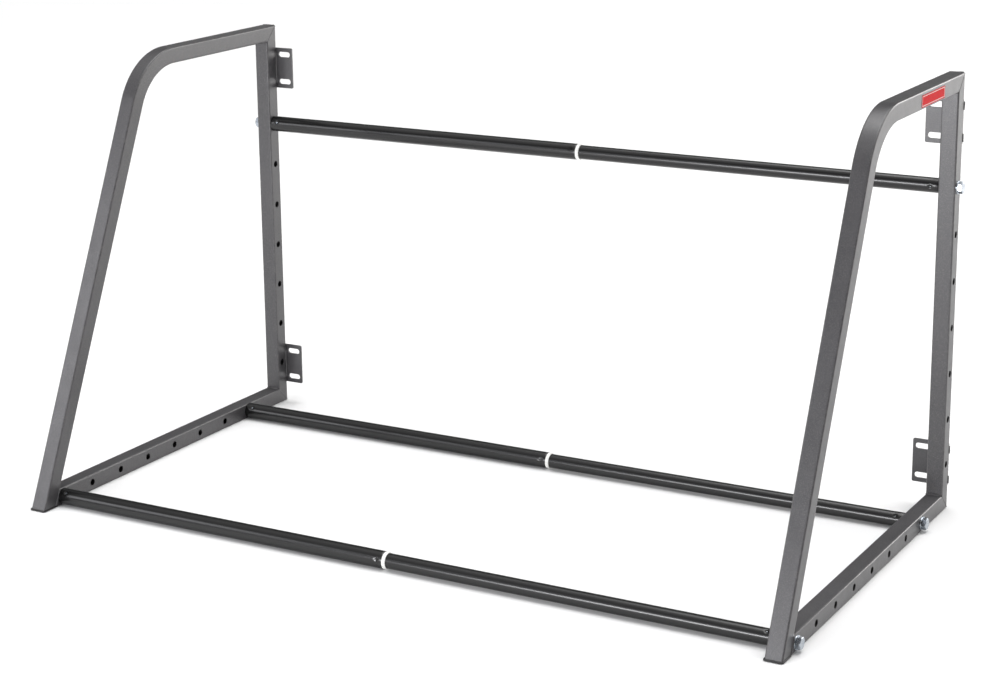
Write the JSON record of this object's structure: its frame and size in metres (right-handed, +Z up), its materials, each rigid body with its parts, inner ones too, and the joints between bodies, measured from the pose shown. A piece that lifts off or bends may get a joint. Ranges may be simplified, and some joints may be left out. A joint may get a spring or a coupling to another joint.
{
  "type": "tyre storage rack",
  "caption": "Wall-mounted tyre storage rack: square-tube side frames joined by telescopic round crossbars that set its width. Tyres stand on the lower bars; slotted brackets hold it to a wall.",
  "frame": {"origin": "bottom centre of the rack's box, on the floor, at the rest width", "axes": "+X along the rack from the outer tubes to the inner tubes, +Y towards the wall behind it, +Z up"},
  "size_m": [1.2362, 0.6582, 0.659],
  "materials": {
    "powder_coat": "satin dark gunmetal powder coat",
    "bar_paint": "smooth semi-gloss black paint",
    "zinc": "bright bluish zinc plating",
    "nylon": "smooth white nylon",
    "black_plastic": "matt black plastic",
    "label_red": "plain red printed film"
  },
  "bodies": {
    "left_half": {"left_upright": "powder_coat", "left_post": "powder_coat", "left_bottom_rail": "powder_coat", "left_upper_bracket": "powder_coat", "left_lower_bracket": "powder_coat", "left_foot_cap": "black_plastic", "front_outer_tube": "bar_paint", "rear_outer_tube": "bar_paint", "upper_outer_tube": "bar_paint", "front_bush": "nylon", "rear_bush": "nylon", "upper_bush": "nylon", "front_left_insert": "zinc", "rear_left_insert": "zinc", "upper_left_insert": "zinc", "left_front_washer": "zinc", "left_rear_washer": "zinc", "left_upper_washer": "zinc", "left_front_bolt": "zinc", "left_rear_bolt": "zinc", "left_upper_bolt": "zinc"},
    "right_half": {"right_upright": "powder_coat", "right_post": "powder_coat", "right_bottom_rail": "powder_coat", "right_upper_bracket": "powder_coat", "right_lower_bracket": "powder_coat", "right_foot_cap": "black_plastic", "front_inner_tube": "bar_paint", "rear_inner_tube": "bar_paint", "upper_inner_tube": "bar_paint", "front_right_insert": "zinc", "rear_right_insert": "zinc", "upper_right_insert": "zinc", "right_front_washer": "zinc", "right_rear_washer": "zinc", "right_upper_washer": "zinc", "right_front_bolt": "zinc", "right_rear_bolt": "zinc", "right_upper_bolt": "zinc", "label": "label_red"}
  },
  "joints": [
    {"name": "width_adjust", "type": "slide", "parent": "left_half", "child": "right_half", "axis": [1, 0, 0], "range_m": [-0.4, 0.06]}
  ]
}
